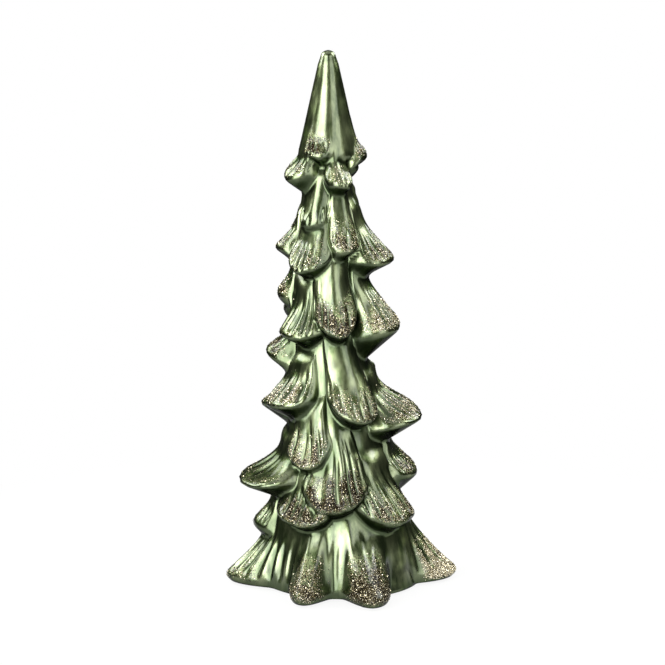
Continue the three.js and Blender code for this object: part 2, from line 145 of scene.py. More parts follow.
# %% Trunk, lean and spire
TREE_HEIGHT = 300
SPIRE_TIP_RADIUS = 4.0
SPIRE_DOME_RADIUS = 4.9
SPIRE_FOOT_HEIGHT = 243.5
SPIRE_FOOT_RADIUS = 16.5
SPIRE_FOOT_WAVE = 1.5
SPIRE_UNDER_ANGLE = 40
SPIRE_TIP_ROUND = 1.8
SPIRE_RIM_ROUND = 4
FLUTE_DEPTH = 0.12
FINE_FLUTE_DEPTH = 0.04
NECK_HEIGHT = 225
NECK_RADIUS = 12.8
TRUNK_SWELL = 8
TRUNK_SWELL_DROP = 50
TRUNK_SPREAD = 18
TRUNK_SPREAD_HEIGHT = 140
TRUNK_SPREAD_DROP = 110
LEAN = 7
LEAN_HEIGHT = 180


def lean_at(z):
    share = np.clip(z / LEAN_HEIGHT, 0, 1)
    return -LEAN * share * share * (3 - 2 * share)


def trunk_radius(z):
    spread = np.clip((TRUNK_SPREAD_HEIGHT - z) / TRUNK_SPREAD_DROP, 0, None)
    swell = TRUNK_SWELL * (1 - np.exp(-(NECK_HEIGHT - z) / TRUNK_SWELL_DROP))
    return NECK_RADIUS + swell + TRUNK_SPREAD * spread ** 1.3


def spire_radius(phi, z):
    drop = np.maximum(TREE_HEIGHT - z, 0)
    taper = (SPIRE_FOOT_RADIUS - SPIRE_TIP_RADIUS) / (TREE_HEIGHT - SPIRE_FOOT_HEIGHT)
    flute = (FLUTE_DEPTH * np.cos(4 * phi + 0.5)
             + FINE_FLUTE_DEPTH * np.cos(7 * phi + 2 + drop / 30))
    cone = SPIRE_TIP_RADIUS + taper * drop + flute * np.clip((drop - 4) / 20, 0, 1)
    round_tip = np.sqrt(np.maximum(drop * (2 * SPIRE_DOME_RADIUS - drop), 0))
    dome = np.where(drop < SPIRE_DOME_RADIUS, round_tip, 2 * drop - SPIRE_DOME_RADIUS)
    lip = SPIRE_FOOT_HEIGHT + SPIRE_FOOT_WAVE * np.cos(3 * phi)
    slope = slope_run(SPIRE_UNDER_ANGLE)
    under = SPIRE_TIP_RADIUS + taper * (TREE_HEIGHT - lip) + (z - lip) * slope
    return round_min(round_min(cone, dome, SPIRE_TIP_ROUND), under, SPIRE_RIM_ROUND)


for height in (40, 128, 176, 225):
    print("trunk radius at", height, "mm:", round(float(trunk_radius(height)), 1), "mm")

# %% [markdown]
# ## The boughs
#
# Each bough is a drooping tongue. It starts flat against the trunk, flares outwards, and
# ends in a thick rolled lip with a sloping underside. The table gives each one's place
# and size, as a modeller would note them on a sketch: bearing round the trunk (0 is the
# front, 90 the right), height of its tip, reach from the axis, half of its width in
# degrees, length, how late it flares, how far its lip rises at its left and at its right
# side, slope of its underside, length of its pleats and sideways drift. The last bough of
# the sixth tier is 3.5 mm shorter than in the measured model, or it would peep out at the
# left edge, where the photograph shows nothing.

# %% Table of boughs
TIERS = {
    "crown": [
        (-24, 242.5, 20.8, 46, 34, 1.1, 4, 5, 30, 9, 0),
        (-66, 232.3, 27, 40, 30, 1.5, 8, 2, 36, 10, -8),
        (19, 225.8, 26.5, 33, 34, 1.6, 6, 10, 26, 6, 6),
        (84, 242, 23, 34, 26, 1.2, -6, 6, 36, 9, 0),
        (138, 230, 22, 40, 26, 1.7, 8, 8, 34, 10, 6),
        (192, 240, 22.5, 40, 24, 1.5, 7, 7, 36, 10, 0),
        (240, 226, 23, 34, 26, 1.7, 8, 8, 34, 10, -4),
    ],
    "second": [
        (-95, 190.5, 31, 34, 24, 1.9, 8, -6, 34, 13, 0),
        (-31, 181, 30.5, 40, 32, 1.3, 11, 11, 22, 15, -3),
        (24, 189.5, 28, 28, 48, 1.3, 12, 6, 24, 14, 0),
        (78, 184.3, 38, 42, 38, 1.7, 0, 9, 28, 17, 4),
        (130, 200, 22, 36, 28, 1.5, 8, 8, 40, 14, 0),
        (165, 185, 32, 40, 38, 1.6, 9, 9, 36, 16, 4),
        (216, 194, 30, 40, 36, 1.6, 9, 9, 36, 16, -5),
    ],
    "third": [
        (-102, 165, 30.2, 28, 22, 1.4, 7, -6, 42, 12, 0),
        (-46, 143, 33.5, 44, 36, 2.1, 3, 6, 26, 26, -4),
        (8, 146.8, 32.5, 37, 58, 1.3, 13, 13, 22, 16, 0),
        (76, 147, 41.6, 40, 40, 1.5, -5, 11, 40, 22, 6),
        (124, 150, 32, 36, 26, 1.6, 10, 10, 40, 16, 0),
        (163, 141, 38, 40, 36, 1.7, 11, 11, 38, 20, 5),
        (212, 150, 36, 38, 34, 1.6, 10, 10, 38, 18, -4),
    ],
    "fourth": [
        (-105, 133, 38.6, 34, 16, 1.4, 9, -5, 42, 10, 0),
        (-61, 105.5, 41, 44, 28, 2, 8, 5, 30, 18, -6),
        (25, 98.7, 41, 33, 54, 1.3, 14, 12, 22, 16, 16),
        (82, 97.8, 50.6, 37, 28, 3, -7, 12, 32, 20, 4),
        (126, 101, 42, 36, 24, 1.9, 11, 11, 36, 16, 0),
        (168, 99, 46, 38, 32, 1.8, 11, 11, 36, 18, 4),
        (212, 114, 40, 36, 28, 1.7, 10, 10, 36, 18, 0),
        (248, 99, 44, 30, 24, 1.9, 9, 9, 36, 16, -4),
    ],
    "fifth": [
        (-77, 60, 57.7, 38, 30, 2.8, 8, 4, 24, 17, -8),
        (-32, 73.5, 39.5, 29, 38, 1.2, 11, 12, 22, 20, -4),
        (-2, 50.8, 47, 32, 50, 1.2, 13, 13, 22, 36, 0),
        (96, 65, 46.3, 36, 22, 1.7, -2, 9, 42, 14, 0),
        (140, 56, 54, 34, 30, 1.9, 10, 10, 34, 22, 4),
        (186, 69, 47.5, 34, 28, 1.8, 10, 10, 38, 20, 0),
        (228, 58, 54, 34, 30, 1.9, 10, 10, 34, 22, -4),
    ],
    "sixth": [
        (-91, 33, 50.5, 27, 18, 1.3, 6, -1, 44, 14, 0),
        (-31, 42.3, 49.5, 32, 30, 1.3, 10, 14, 24, 18, -3),
        (46, 40.5, 49.8, 36, 42, 1.6, 10, 1, 26, 32, 8),
        (114, 34, 43.5, 28, 16, 1.9, 8, 8, 42, 12, 0),
        (160, 39, 51, 32, 26, 1.6, 9, 9, 40, 18, 4),
        (208, 34, 51, 30, 24, 1.6, 8, 8, 40, 18, 0),
        (246, 42, 42.5, 28, 20, 1.7, 8, 8, 42, 16, 0),
    ],
}
BARE_LEAF = (-28, 204.6, 22.5, 36, 34, 1.2, 10, 10, 26, 8, -3)
ALL_BOUGHS = [bough for boughs in TIERS.values() for bough in boughs] + [BARE_LEAF]
print(len(ALL_BOUGHS), "boughs in", len(TIERS), "tiers and one bare leaf")

# %% [markdown]
# A bough is drawn in its own two coordinates. "Across" runs from -1 to 1 over its width,
# and "along" from 0 at its root to 1 at its lip. Small bends of these coordinates keep
# the boughs from looking stamped out. Its upper part is smooth with one or two broad
# folds. Pleats 6 to 9 mm apart fan out above the lip, as bundles of needles do, with
# valleys narrower than their ridges, and the rolled rim below them is smooth. On the low
# left bough the side that faces the front has no pleats.

# %% One bough
LIP_ROUND = 6.5
CREASE_ROUND = 2.0
ROOT_ROUND = 10.0
PLEAT_DEPTH = 1.0
PLEAT_SPACING = 3.2
PLEAT_SPACING_PER_REACH = 0.11
FOLD_DEPTH = 0.6
LIP_STANDOFF = 0.6
NOWHERE = -50.0
HALF_PLEATED = TIERS["fifth"][0]


def bend(phi, z):
    side = 2 * np.sin(z / 13 + 2 * np.sin(phi)) + 1.3 * np.sin(z / 6.1 + 3 * np.cos(phi) + 1)
    up = 1.2 * np.sin(3 * phi + z / 21) + 0.8 * np.sin(7 * phi + 1.7 + z / 33)
    return side, up


def place_on_bough(phi, z, bough):
    bearing, tip, _, half, length, _, rise_left, rise_right, _, _, drift = bough
    side, up = bend(phi, z)
    root = tip + length
    level = z + up
    turn = phi - math.radians(bearing)
    degrees = np.degrees(np.arctan2(np.sin(turn), np.cos(turn))) + side
    along = np.clip((root - level) / length, 0, 3)
    for _ in range(4):
        grown = np.minimum(along, 1)
        across = (degrees + drift * (1 - grown)) / (half * (0.72 + 0.28 * grown))
        rise = np.where(across < 0, rise_left, rise_right)
        lip = tip + rise * np.minimum(np.abs(across), 1.2) ** 2.2
        along = np.clip((root - level) / (root - lip), 0, 3)
    return across, along, lip, level


def ramp(value, start, width):
    return np.clip((value - start) / width, 0, 1)


def pleat(wave, sharpness):
    """A plain wave with its valleys drawn in, so that the ridges are broader."""
    return 1 - 2 * (0.5 - 0.5 * wave) ** sharpness


def pleats_on_bough(across, above, bough):
    bearing, _, reach, half, *_, pleat_length, _ = bough
    spacing = PLEAT_SPACING + PLEAT_SPACING_PER_REACH * reach
    turns = math.radians(half) * reach / spacing
    spread = across + 0.1 * np.sin(4 * across + bearing) + 0.03 * np.sin(9 * across + 2 * bearing)
    wave = pleat(np.cos(spread * turns * 2 * math.pi + bearing), 2.4)
    strength = 0.65 + 0.35 * np.sin(5 * across + 3 * bearing)
    if bough == HALF_PLEATED:
        strength = strength * (1 - ramp(across, -0.1, 0.4))
    near_lip = ramp(above, 1.0, 3.0) * ramp(pleat_length - above, 0, 0.55 * pleat_length)
    return PLEAT_DEPTH * wave * strength * near_lip


def bough_radius(phi, z, bough):
    bearing, tip, reach, _, length, flare, _, _, under_angle, _, _ = bough
    across, along, lip, level = place_on_bough(phi, z, bough)
    inner = np.clip(1 - across * across, 0, 1)
    grown = np.minimum(along, 1)
    width = CREASE_ROUND + ROOT_ROUND * np.clip(1 - along / 0.85, 0, 1)
    lift = (reach - trunk_radius(tip)) * inner ** (0.6 + 0.5 * (1 - grown))
    groove = pleats_on_bough(across, level - lip, bough)
    fold = FOLD_DEPTH * np.cos(1.5 * math.pi * across + bearing * 0.7 + 0.5 * along)
    fold = fold * ramp(along, 0, 0.3) * ramp(1.1 - along, 0, 0.3) * np.clip(inner * 2, 0, 1)
    edge = np.clip(np.minimum(inner / 0.3, along / 0.25), 0, 1)
    upper = (trunk_radius(z) + lift * along ** flare + groove * np.clip(inner * 3, 0, 1)
             + fold - width * (1 - edge) ** 2)
    under = trunk_radius(lip) + lift + LIP_STANDOFF + (level - lip) * slope_run(under_angle)
    radius = round_min(upper, under, np.minimum(LIP_ROUND, 1 + 0.9 * lift))
    return np.where((inner <= 0) | (level > tip + length), NOWHERE, radius), width


crown_front = TIERS["crown"][0]
crown_radius, _ = bough_radius(math.radians(crown_front[0]), crown_front[1], crown_front)
print("the front bough of the crown ends", round(float(crown_radius), 1), "mm from the axis")

# %% [markdown]
# The foot is a skirt that ends in seven points. Its edge on the table is a soft star,
# drawn between the points and the notches with a cosine, and the skirt flares out to it.
# It has 42 pleats, which are deep at the left and behind and nearly gone at the front
# right, so their depth is given for a few bearings and read between them.

# %% The foot
FOOT_HEIGHT = 46
FOOT_TOP_WAVE = 6
SKIRT_REACH = 44
POINT_START = 46
POINT_LENGTH = 20
FOOT_LIP_HEIGHT = 3.5
FOOT_LIP_RISE = 1.5
FOOT_UNDER_ANGLE = 42
FOOT_LIP_ROUND = 4
POINT_LIP_ROUND = 3
FOOT_PLEATS = 42
FOOT_FOLDS = 9
FOOT_FOLD_DEPTH = 0.84
FOOT_POINTS = [
    (-86, 66.5), (-20.5, 64.5), (16, 68.5), (95, 67), (138, 64.5), (185, 66), (231, 64.5)]
FOOT_NOTCHES = [
    (-46, 44.5), (-3, 46.5), (51, 37), (117, 47), (161, 46), (208, 46), (253, 48)]
FOOT_PLEAT_BEARINGS = [0, 20, 35, 58, 75, 100, 140, 200, 260, 310, 328, 360]
FOOT_PLEAT_DEPTHS = [0.25, 0.2, 0.0, 0.05, 0.6, 0.9, 0.7, 0.8, 1.2, 1.1, 0.35, 0.25]


def foot_reach(phi):
    stops = sorted((bearing % 360, reach) for bearing, reach in FOOT_POINTS + FOOT_NOTCHES)
    stops = ([(stops[-1][0] - 360, stops[-1][1])] + stops
             + [(stops[0][0] + 360, stops[0][1])])
    degrees = np.degrees(phi) % 360
    reach = np.zeros_like(degrees)
    for (start, low), (end, high) in zip(stops, stops[1:]):
        share = 0.5 - 0.5 * np.cos(math.pi * np.clip((degrees - start) / (end - start), 0, 1))
        drawn = share ** 1.3 if high > low else 1 - (1 - share) ** 1.3
        inside = (degrees >= start) & (degrees < end)
        reach = np.where(inside, low + (high - low) * drawn, reach)
    return reach


def foot_radius(phi, z):
    reach = foot_reach(phi)
    on_point = np.clip((reach - POINT_START) / POINT_LENGTH, 0, 1)
    lip = FOOT_LIP_HEIGHT + FOOT_LIP_RISE * on_point
    top = FOOT_HEIGHT + FOOT_TOP_WAVE * np.cos(3 * phi)
    along = (top - z) / (top - lip)
    down = np.maximum(along, 0)
    phase = FOOT_PLEATS * phi + 1.5 * np.sin(5 * phi) + 0.8 * np.sin(z / 9)
    wave = pleat(np.cos(phase), 0.95)
    depth = np.interp(np.degrees(phi) % 360, FOOT_PLEAT_BEARINGS, FOOT_PLEAT_DEPTHS)
    groove = depth * wave * ramp(along, 0.2, 0.3) * ramp(1 - along, 0.03, 0.15)
    fold = (FOOT_FOLD_DEPTH * np.cos(FOOT_FOLDS * phi + 2 * np.sin(2 * phi) + along - 1.6)
            * ramp(1.1 - along, 0, 0.3))
    base = trunk_radius(z) - 1
    upper = (base + (SKIRT_REACH - base) * down ** 1.4
             + (reach - SKIRT_REACH) * down ** 2.2 + groove + fold)
    under = reach + LIP_STANDOFF + (z - lip) * slope_run(FOOT_UNDER_ANGLE)
    lip_round = FOOT_LIP_ROUND + POINT_LIP_ROUND * on_point
    return np.where(along < 0, NOWHERE, round_min(upper, under, lip_round))


print("foot reaches", foot_reach(np.radians([-86.0, 16.0, 51.0])).round(1), "mm")

# %% [markdown]
# Now the whole glass: the greatest of all these radii, with rounded creases. It is
# sampled on a grid with less than a millimetre between columns, fine enough for pleats
# whose valleys are about two millimetres wide.

# %% The glass as a grid of radii
COLUMNS = 448
CONE_STEP = 2.5
RING_STEP = 1.45
TRUNK_END_RISE = 18
CLOSE_RINGS_RISE = 8
FOOT_CREASE_ROUND = 2.2


def glass_radius(phi, z):
    radius = np.where(z > SPIRE_FOOT_HEIGHT + TRUNK_END_RISE, NOWHERE, trunk_radius(z))
    radius = round_max(radius, spire_radius(phi, z), CREASE_ROUND)
    for bough in ALL_BOUGHS:
        reach, width = bough_radius(phi, z, bough)
        radius = round_max(radius, reach, width)
    return round_max(radius, foot_radius(phi, z), FOOT_CREASE_ROUND)


def ring_heights():
    tip = TREE_HEIGHT - SPIRE_DOME_RADIUS * np.array([0.01, 0.05, 0.13, 0.25, 0.4, 0.6, 0.8, 1.05])
    cone_end = SPIRE_FOOT_HEIGHT + CLOSE_RINGS_RISE
    cone = np.arange(tip[-1] - CONE_STEP, cone_end, -CONE_STEP)
    count = int(round((cone_end - BASE_HEIGHT) / RING_STEP))
    return np.concatenate([tip, cone, np.linspace(cone_end, BASE_HEIGHT, count)])


HEIGHTS = ring_heights()
BEARINGS = np.arange(COLUMNS) * 2 * math.pi / COLUMNS
PHI, Z = np.meshgrid(BEARINGS, HEIGHTS)
RADIUS = glass_radius(PHI, Z)
print(len(HEIGHTS), "rings of", COLUMNS, "points, widest", RADIUS.max().round(1), "mm")

# %% [markdown]
# The grid becomes one closed sheet, as the real glass is: down the outside, in under the
# foot, up through the blow hole and up the inner wall to a point below the tip. The inner
# wall never shows, so it only has to stay inside the outer one.

# %% Build the glass
WALL = 2.2
BLOW_HOLE_RADIUS = 11
BOTTOM_RING = 11
KICK_RUN = 4
KICK_HEIGHT = 6.5
INSIDE_RINGS = 12


def ring_points(radius, z):
    radius = np.broadcast_to(radius, (COLUMNS,))
    return np.stack([
        lean_at(z) + radius * np.sin(BEARINGS),
        -radius * np.cos(BEARINGS),
        np.full(COLUMNS, float(z)),
    ], axis=1)


def narrowest_nearby(values, rings, columns):
    least = values.copy()
    for shift in range(-columns, columns + 1):
        least = np.minimum(least, np.roll(values, shift, axis=1))
    nearby = least.copy()
    for shift in range(1, rings + 1):
        nearby[shift:] = np.minimum(nearby[shift:], least[:-shift])
        nearby[:-shift] = np.minimum(nearby[:-shift], least[shift:])
    return nearby


def glass_rings():
    rings = [ring_points(RADIUS[i], z) for i, z in enumerate(HEIGHTS)]
    floor = BASE_HEIGHT + KICK_HEIGHT
    inner_floor = BLOW_HOLE_RADIUS + BOTTOM_RING
    for radius, z in [
        (inner_floor + KICK_RUN, BASE_HEIGHT), (inner_floor, floor),
        (BLOW_HOLE_RADIUS, floor), (BLOW_HOLE_RADIUS, floor + WALL),
        (inner_floor + 0.7 * WALL, floor + WALL),
        (inner_floor + KICK_RUN + 0.7 * WALL, BASE_HEIGHT + WALL),
    ]:
        rings.append(ring_points(radius, z))
    inner = narrowest_nearby(RADIUS, 12, 8) - WALL
    top = int(np.argmax(inner.min(axis=1) > 2 * WALL))
    for z in np.linspace(BASE_HEIGHT + WALL, HEIGHTS[top], INSIDE_RINGS):
        rings.append(ring_points(inner[int(np.argmin(np.abs(HEIGHTS - z)))], z))
    return rings, HEIGHTS[top] + WALL


def closed_sheet(rings, top_pole, bottom_pole):
    points = np.concatenate([[top_pole], *rings, [bottom_pole]])
    column = np.arange(COLUMNS)
    following = (column + 1) % COLUMNS
    faces = [[0, 1 + a, 1 + b] for a, b in zip(column, following)]
    for i in range(len(rings) - 1):
        upper = 1 + i * COLUMNS
        lower = upper + COLUMNS
        faces += np.stack([
            upper + column, lower + column, lower + following, upper + following,
        ], axis=1).tolist()
    last = 1 + (len(rings) - 1) * COLUMNS
    faces += [[last + a, len(points) - 1, last + b] for a, b in zip(column, following)]
    return points, faces


def mesh_object(name, points, faces, smooth=True):
    mesh = bpy.data.meshes.new(name)
    mesh.from_pydata((points * MM + TRUNK_FOOT).tolist(), [], faces)
    mesh.polygons.foreach_set("use_smooth", [smooth] * len(mesh.polygons))
    mesh.update()
    piece = bpy.data.objects.new(name, mesh)
    bpy.context.scene.collection.objects.link(piece)
    return piece


glass_rows, inner_top = glass_rings()
glass_points, glass_faces = closed_sheet(
    glass_rows,
    [float(lean_at(TREE_HEIGHT)), 0, TREE_HEIGHT],
    [float(lean_at(inner_top)), 0, inner_top])
glass = mesh_object("glass_tree", glass_points, glass_faces)
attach(glass, "root")
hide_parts("glass_shell")
print("glass has", len(glass_faces), "faces")

# %% [markdown]
# ## Where the glitter lies
#
# Glue was brushed on the lower 20 mm of each bough, just above the rolled rim, and the
# glitter was strewn by hand. So it lies in patches: thick on some tips, nearly absent on
# others, on the ridges more than in the valleys. The first table gives how much each tip
# caught, and a soft noise of about seven millimetres makes the patches. The second table
# makes the glitter of some tips paler (above 1) or darker (below 1) than elsewhere.

# %% Glitter density
GLITTER_BAND = 20
PATCH_SIZE = 7
CAUGHT = {
    "crown": (0.6, 0.3, 0.15, 0.5, 0.5, 0.4, 0.3),
    "second": (0.6, 0.3, 0.5, 0.5, 0.5, 0.6, 0.4),
    "third": (0.7, 0.08, 1.0, 0.7, 0.5, 0.7, 0.6),
    "fourth": (0.7, 0.5, 0.5, 0.7, 0.6, 0.7, 0.5, 0.7),
    "fifth": (0.25, 0.7, 1.4, 0.6, 0.8, 0.5, 0.8),
    "sixth": (0.2, 0.9, 0.6, 0.5, 0.8, 0.6, 0.7),
    "foot": (0.15, 0.7, 1.0, 2.0, 0.6, 0.9, 0.7),
}
SHINE = {
    "crown_1": 0.5, "crown_3": 4, "second_1": 0.8, "third_3": 0.7, "third_4": 2, "fourth_2": 2,
    "fourth_4": 2, "fifth_3": 0.5, "sixth_2": 0.7, "foot_2": 0.8, "foot_3": 0.7, "foot_4": 4,
}


def in_front(radius):
    """1 where this bough is the outermost surface, 0 where another one covers it."""
    return np.clip((radius - RADIUS + 2.0) / 1.2, 0, 1)


def patchiness():
    spots = np.stack([RADIUS * np.sin(PHI), RADIUS * np.cos(PHI), Z], axis=2) / PATCH_SIZE
    values = [noise.noise(spot) for spot in spots.reshape(-1, 3)]
    return np.clip(0.95 + 1.3 * np.array(values).reshape(RADIUS.shape), 0.3, 1.4)


def blurred(values, rings, columns):
    total = sum(np.roll(values, shift, axis=1) for shift in range(-columns, columns + 1))
    total = total / (2 * columns + 1)
    padded = np.pad(total, ((rings, rings), (0, 0)), mode="edge")
    return sum(padded[i:i + len(values)] for i in range(2 * rings + 1)) / (2 * rings + 1)


PATCHES = patchiness()
DEPTH = np.clip((blurred(RADIUS, 3, 6) - RADIUS + 0.1) / 0.9, 0, 1)


def bough_glitter(bough):
    across, along, lip, level = place_on_bough(PHI, Z, bough)
    radius, _ = bough_radius(PHI, Z, bough)
    above = level - lip
    upward = 1 - ramp(above, 4, GLITTER_BAND - 4)
    below = ramp(above, 1.0, 2.5)
    sideways = 1 - ramp(np.abs(across), 0.4, 0.5)
    started = ramp(along, 0.25, 0.2)
    return upward * below * sideways * started * in_front(radius)


def foot_glitter(point):
    bearing, reach = point
    turn = PHI - math.radians(bearing)
    degrees = np.degrees(np.arctan2(np.sin(turn), np.cos(turn)))
    above = Z - BASE_HEIGHT
    outward = ramp(foot_reach(PHI), reach - 18, 10)
    return (outward * (1 - ramp(above, 6, GLITTER_BAND)) * ramp(above, 2.0, 2.0)
            * (np.abs(degrees) < 30) * in_front(foot_radius(PHI, Z)))


def strewn(density, caught):
    return density * caught * PATCHES * (1 - DEPTH) ** 2


GLITTER = {}
for tier, boughs in TIERS.items():
    for number, (bough, caught) in enumerate(zip(boughs, CAUGHT[tier]), start=1):
        GLITTER[f"{tier}_{number}"] = strewn(bough_glitter(bough), caught)
for number, (point, caught) in enumerate(zip(FOOT_POINTS, CAUGHT["foot"]), start=1):
    GLITTER[f"foot_{number}"] = strewn(foot_glitter(point), caught)
all_glitter = np.max(list(GLITTER.values()), axis=0)
print(len(GLITTER), "tips with glitter, over", round(100 * float((all_glitter > 0.3).mean())),
      "% of the grid")

# %% [markdown]
# Three values are kept at each point of the glass, for its material to read. The first is
# shade painted into the lacquer's colour: in the valleys and creases, on the undersides
# and just below them, at the edge of the foot, and on the front flanks of two boughs.
# The second, "glue", is the glitter density, because the film of glue dulls the gloss.
# The third carries the second table of the glitter.

# %% Values stored on the glass
def store_on_glass(name, values, elsewhere):
    extra = len(glass_points) - 2 - values.size
    flat = np.concatenate([[values[0, 0]], values.ravel(), np.full(extra + 1, elsewhere)])
    attribute = glass.data.attributes.new(name, "FLOAT", "POINT")
    attribute.data.foreach_set("value", flat.astype(np.float32))


def spread_downwards(values, reach):
    """Each value also reaches down the glass, fading over the given millimetres."""
    flowed = values.copy()
    for i in range(1, len(HEIGHTS)):
        drop = HEIGHTS[i - 1] - HEIGHTS[i]
        flowed[i] = np.maximum(values[i], flowed[i - 1] * math.exp(-drop / reach))
    return flowed


def dark_flank(tier, number):
    """The front side of a bough, from its middle to its right edge, where shade is painted."""
    bough = TIERS[tier][number - 1]
    across, _, _, _ = place_on_bough(PHI, Z, bough)
    radius, _ = bough_radius(PHI, Z, bough)
    return ramp(across, 0.1, 0.4) * in_front(radius)


# Painted shade: the lacquer is drawn darker where shade falls or the glass mirrors dark: on the
# undersides and 5 mm below them, in creases and pleat valleys, at the foot's edge and on the front
# flanks of two boughs.
widening = -np.gradient(RADIUS, axis=0) / np.maximum(np.gradient(-HEIGHTS), 0.1)[:, None]
overhang = ramp(widening, 0.0, 0.7)
overhang = np.maximum(blurred(overhang, 1, 1), 0.9 * spread_downwards(overhang, 5.0))
foot_rim = 0.8 * (1 - ramp(Z - BASE_HEIGHT, 1.5, 7))
creases = np.clip((blurred(RADIUS, 5, 8) - RADIUS - 0.4) / 1.7, 0, 1)
flanks = np.maximum(dark_flank("fourth", 1), dark_flank("sixth", 1))
painted_shade = np.maximum(0.85 * DEPTH, 0.75 * np.maximum(creases, flanks))
painted_shade = np.maximum(painted_shade, np.maximum(overhang, foot_rim))
glitter_darkening = np.ones_like(RADIUS)
for name, shine in SHINE.items():
    glitter_darkening = np.where(GLITTER[name] > 0.02, 1 / shine, glitter_darkening)
store_on_glass("painted_shade", painted_shade, 0.3)
store_on_glass("glue", np.clip(1.5 * all_glitter, 0, 1), 0.0)
store_on_glass("glitter_darkening", glitter_darkening, 1.0)
print("lacquer pools over", round(100 * float((painted_shade > 0.3).mean())), "% of the grid")

# %% [markdown]
# ## Material helpers
#
# Colours are noted as sRGB hex, as a paint card has them, and one function turns them to
# the linear values that the renderer wants. One small function adds a node with its
# settings and its links.

# %% Colour and node helpers
def linear(hex_colour):
    values = [int(hex_colour[i:i + 2], 16) / 255 for i in (1, 3, 5)]
    return [v / 12.92 if v <= 0.04045 else ((v + 0.055) / 1.055) ** 2.4 for v in values] + [1.0]


def node(tree, kind, settings=None, inputs=None):
    made = tree.nodes.new(kind)
    for name, value in (settings or {}).items():
        setattr(made, name, value)
    for name, value in (inputs or {}).items():
        if isinstance(value, bpy.types.NodeSocket):
            tree.links.new(value, made.inputs[name])
        else:
            made.inputs[name].default_value = value
    return made


def new_material(name):
    material = bpy.data.materials.new(name)
    material.use_nodes = True
    return material, material.node_tree, material.node_tree.nodes["Principled BSDF"]


print("lacquer green in linear values:", [round(v, 3) for v in linear("#828C66")[:3]])

# %% [markdown]
# ## Silvered glass under green lacquer
#
# Seen from outside, silvered glass is a mirror behind a clear tinted coat. The light
# crosses the lacquer twice, so the mirror looks pale green, and where it bounces from
# bough to bough it goes deep green. It could be built as real layers of glass, but one
# metallic surface with a clear coat looks the same and renders cleanly.
#
# The lacquer isn't even. It runs down in faint streaks about six millimetres apart. A
# noise that is drawn out downwards makes the streaks. The creases, valleys and undersides
# get a darker green as painted shade.

# %% Colour of the lacquer
def per_metre(millimetres):
    return 1 / (millimetres * MM)


glass_material, tree, shader = new_material("silvered_glass_green_lacquer")
place = node(tree, "ShaderNodeTexCoord")
painted_shade_node = node(tree, "ShaderNodeAttribute", {"attribute_name": "painted_shade"})
glue = node(tree, "ShaderNodeAttribute", {"attribute_name": "glue"})

stretch = node(tree, "ShaderNodeMapping", None, {
    "Vector": place.outputs["Object"], "Scale": (1.0, 1.0, 0.18)})
streaks = node(tree, "ShaderNodeTexNoise", None, {
    "Vector": stretch.outputs["Vector"], "Scale": per_metre(6), "Detail": 4.0, "Roughness": 0.6})
tint = node(tree, "ShaderNodeValToRGB", None, {"Fac": streaks.outputs["Fac"]})
tint.color_ramp.elements[0].position = 0.39
tint.color_ramp.elements[0].color = linear("#404E2C")
tint.color_ramp.elements[1].position = 0.62
tint.color_ramp.elements[1].color = linear("#828C66")
# Painted shade: where the painted shade value is high, the green turns to the darker #3C4830.
tint_with_painted_shade = node(tree, "ShaderNodeMix", {"data_type": "RGBA"}, {
    "Factor": painted_shade_node.outputs["Fac"], "A": tint.outputs["Color"], "B": linear("#3C4830")})
print("lacquer colour has", len(tint.color_ramp.elements), "greens and a darker one for pools")

# %% [markdown]
# The finest glitter is a dust in the glue. Flakes that small would be too many to model,
# so a pattern of cells of about 0.4 mm stands in for them. Each cell has its own shade,
# from nearly black to pale champagne, and more of them show where the glue is thicker.

# %% Dust in the glue
grain = node(tree, "ShaderNodeTexVoronoi", None, {
    "Vector": place.outputs["Object"], "Scale": per_metre(0.38)})
chance = node(tree, "ShaderNodeSeparateColor", None, {"Color": grain.outputs["Color"]})
dusted = node(tree, "ShaderNodeMath", {"operation": "LESS_THAN"}, {
    0: chance.outputs["Red"], 1: glue.outputs["Fac"]})
glitter_darkening_node = node(tree, "ShaderNodeAttribute", {"attribute_name": "glitter_darkening"})
dust_shade = node(tree, "ShaderNodeMath", {"operation": "POWER"}, {
    0: chance.outputs["Green"], 1: glitter_darkening_node.outputs["Fac"]})
dust = node(tree, "ShaderNodeValToRGB", None, {"Fac": dust_shade.outputs["Value"]})
dust.color_ramp.elements[0].color = linear("#14130C")
dust.color_ramp.elements[1].color = linear("#FFF8E0")
for position, colour in ((0.45, "#2A2416"), (0.7, "#54492F"), (0.86, "#A39874")):
    dust.color_ramp.elements.new(position).color = linear(colour)
coloured = node(tree, "ShaderNodeMix", {"data_type": "RGBA"}, {
    "Factor": dusted.outputs["Value"], "A": tint_with_painted_shade.outputs["Result"], "B": dust.outputs["Color"]})
tree.links.new(coloured.outputs["Result"], shader.inputs["Base Color"])
print("dust has", len(dust.color_ramp.elements), "shades")

# %% [markdown]
# The blown surface ripples over about nine millimetres, because the glass cools unevenly
# in its mould, and the grains of dust stand up from the glue. Both are too shallow to
# change the outline, so they are bumps in the material.

# %% Ripple and grain
ripple = node(tree, "ShaderNodeTexNoise", None, {
    "Vector": place.outputs["Object"], "Scale": per_metre(9), "Detail": 0.5})
ripple_bump = node(tree, "ShaderNodeBump", None, {
    "Height": ripple.outputs["Fac"], "Strength": 1.0, "Distance": 0.8 * MM})
grain_height = node(tree, "ShaderNodeMath", {"operation": "MULTIPLY"}, {
    0: grain.outputs["Distance"], 1: glue.outputs["Fac"]})
glue_bump = node(tree, "ShaderNodeBump", None, {
    "Height": grain_height.outputs["Value"], "Strength": 0.8, "Distance": 0.5 * MM,
    "Normal": ripple_bump.outputs["Normal"]})
tree.links.new(glue_bump.outputs["Normal"], shader.inputs["Normal"])
print("ripple up to", round(ripple_bump.inputs["Distance"].default_value / MM, 2), "mm deep")
